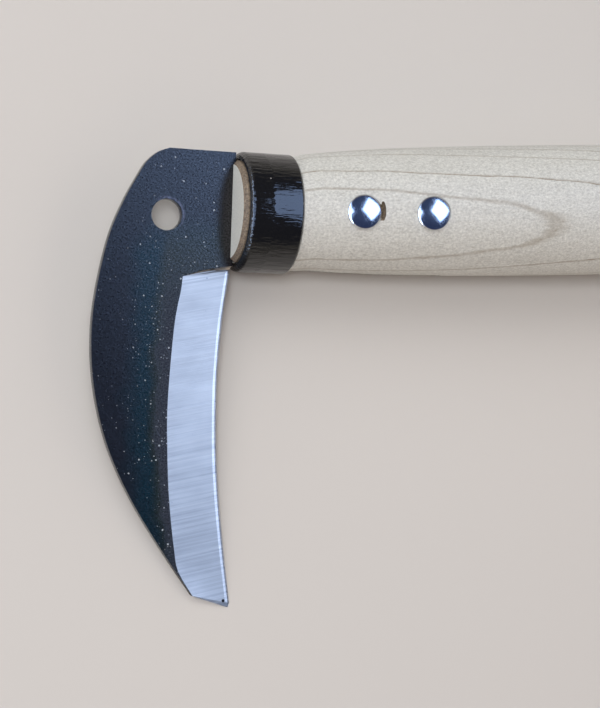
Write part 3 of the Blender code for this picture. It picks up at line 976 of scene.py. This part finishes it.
def capProfile(base):
    # a low dome on a short brim, from its crown down to its seat
    r = rivetShape
    rise = r["capHeight"] - r["brim"]
    ball = (r["capRadius"]**2 + rise**2) / (2 * rise)
    half = math.asin(r["capRadius"] / ball)
    middle = base + r["brim"] + rise - ball
    points = []
    for i in range(1, r["capRings"]):
        turn = half * i / r["capRings"]
        points.append((middle + ball * math.cos(turn), ball * math.sin(turn)))
    lip = r["brimRound"]
    return points + [(base + r["brim"], r["capRadius"] - lip),
                     (base + r["brim"] - lip, r["capRadius"]), (base, r["capRadius"])]


def makeRivets():
    r = rivetShape
    plate = makePlate()
    for name, (x, y) in r["places"].items():
        base = barrelRadius(x) - r["seatDepth"] + r["gap"]
        bore, boreEnd = r["postRadius"] + r["gap"], base - r["boreFloor"]
        sleeveEnd, postEnd = -base + r["brim"] + r["gap"], -(base - r["postStop"])
        sleeve = capProfile(base) + [(base, r["sleeveRadius"]), (sleeveEnd, r["sleeveRadius"]),
                                     (sleeveEnd, bore), (boreEnd, bore),
                                     (boreEnd, r["endRadius"])]
        post = capProfile(base) + [(base, r["postRadius"]), (postEnd, r["postRadius"]),
                                   (postEnd, r["endRadius"])]
        for kind, profile, turn in (("Sleeve", sleeve, -90), ("Post", post, 90)):
            piece = turnedPiece("rivet" + kind + name.title(), profile, r["segments"])
            upright = Matrix.Rotation(math.radians(turn), 4, "Y")
            placePiece(piece, toolPlace @ Matrix.Translation((x * mm, y * mm, 0)) @ upright)
            smoothShade(piece, 40)
            piece.data.materials.append(plate)
            finishPiece(piece, "rivet_" + kind.lower() + "_" + name, slot="rivet_plate")
    print("rivets done")


makeRivets()


stageLook = {
    "floorColour": (0.64, 0.615, 0.585),
    "floorRoughness": 0.9,
    "floorSize": 6,                      # metres
    "cameraAim": (16.06, -35.45, 0.0),   # mm, in the tool's own directions
    "cameraLean": 18.0,                  # degrees to the blade's side of square-on
    "cameraRoll": 1.7,
    "cameraDistance": 0.6,               # metres
    "lens": 121.4,
    "sensor": 36,
    "clip": (0.01, 20),                  # metres
    "ceiling": (0.020, 0.030, 0.075),
    "walls": (0.42, 0.39, 0.35),
    "wallTop": 0.14,
    "ceilingEdge": 0.38,
}
# where each light stands in the tool's own directions, its distance and size in metres, its
# radiance, and whether it lights surfaces or only shows in what is glossy
lights = {
    "rightWindow": {"towards": (0.61, 0.19, 0.77), "away": 1.2, "size": (0.98, 0.98), "spin": 42,
                    "radiance": (1.8, 2.55, 4.2), "use": "shine"},
    "leftWindow": {"towards": (-0.72, 0.08, 0.69), "away": 1.2, "size": (0.86, 0.86), "spin": 45,
                   "radiance": (1.8, 2.55, 4.2), "use": "shine"},
    "leftDoor": {"towards": (-0.96, 0.0, 0.28), "away": 1.2, "size": (2.6, 0.35), "spin": 0,
                 "radiance": (4.0, 5.2, 7.5), "use": "shine"},
    "overheadKey": {"towards": (-0.31, 0.05, 0.95), "away": 1.3, "size": (0.3, 0.3), "spin": 0,
                    "radiance": (24.0, 24.5, 25.3), "use": "light"},
    "upperFill": {"towards": (-0.30, 0.62, 0.72), "away": 1.5, "size": (1.4, 1.4), "spin": 0,
                  "radiance": (2.05, 2.05, 2.05), "use": "light"},
    "leftFill": {"towards": (-0.87, 0.1, 0.48), "away": 1.4, "size": (1.5, 1.5), "spin": 0,
                 "radiance": (0.84, 0.74, 0.63), "use": "light"},
    "rightFill": {"towards": (0.87, 0.1, 0.48), "away": 1.4, "size": (1.5, 1.5), "spin": 0,
                  "radiance": (0.78, 0.68, 0.57), "use": "light"},
    "lowerFill": {"towards": (0.1, -0.86, 0.5), "away": 1.4, "size": (1.5, 1.5), "spin": 0,
                  "radiance": (0.48, 0.34, 0.21), "use": "light"},
}


def makeFloor():
    bpy.ops.object.select_all(action="DESELECT")
    bpy.ops.mesh.primitive_plane_add(size=stageLook["floorSize"], location=(0, 0, 0))
    floor = bpy.context.object
    floor.name = "floor"
    made, tree = newMaterial("paleFloor")
    principled(tree, {"Base Color": stageLook["floorColour"],
                      "Roughness": stageLook["floorRoughness"], "Specular IOR Level": 0.0})
    floor.data.materials.append(made)


def addLight(name, look):
    light = bpy.data.lights.new(name, "AREA")
    light.shape = "RECTANGLE"
    light.size, light.size_y = look["size"]
    strongest = max(look["radiance"])
    light.energy = strongest * math.pi * light.size * light.size_y
    light.color = [c / strongest for c in look["radiance"]]
    lamp = bpy.data.objects.new(name, light)
    scene.collection.objects.link(lamp)
    towards = toolPlace.to_3x3() @ Vector(look["towards"]).normalized()
    lamp.location = rimCentre + towards * look["away"]
    lamp.rotation_euler = (towards.to_track_quat("Z", "Y").to_matrix()
                           @ Matrix.Rotation(math.radians(look["spin"]), 3, "Z")).to_euler()
    if look["use"] == "shine":
        lamp.visible_diffuse = False
    else:
        lamp.visible_glossy = False


def makeRoom():
    # walls are pale low down, and the ceiling is dark
    world = bpy.data.worlds.new("room")
    scene.world = world
    world.use_nodes = True
    tree = world.node_tree
    _, _, rise = splitPlace(tree, addNode(tree, "ShaderNodeTexCoord").outputs["Generated"])
    walls, ceiling = stageLook["walls"], stageLook["ceiling"]
    colour = ramp(tree, rise, [(0.0, walls), (stageLook["wallTop"], walls),
                               (stageLook["ceilingEdge"], ceiling), (1.0, ceiling)])
    tree.links.new(colour, tree.nodes["Background"].inputs["Color"])


def makeCamera():
    camera = bpy.data.cameras.new("camera")
    camera.lens = stageLook["lens"]
    camera.sensor_width = stageLook["sensor"]
    camera.clip_start, camera.clip_end = stageLook["clip"]
    eye = bpy.data.objects.new("camera", camera)
    scene.collection.objects.link(eye)
    lean, roll = math.radians(stageLook["cameraLean"]), math.radians(stageLook["cameraRoll"])
    turn = toolPlace.to_3x3() @ Matrix.Rotation(-lean, 3, "Y") @ Matrix.Rotation(-roll, 3, "Z")
    aim = toolPlace @ (Vector(stageLook["cameraAim"]) * mm)
    eye.matrix_world = Matrix.Translation(aim) @ turn.to_4x4() @ Matrix.Translation(
        (0, 0, stageLook["cameraDistance"]))
    scene.camera = eye


makeFloor()
for lightName, lightLook in lights.items():
    addLight(lightName, lightLook)
makeRoom()
makeCamera()
print("stage done")
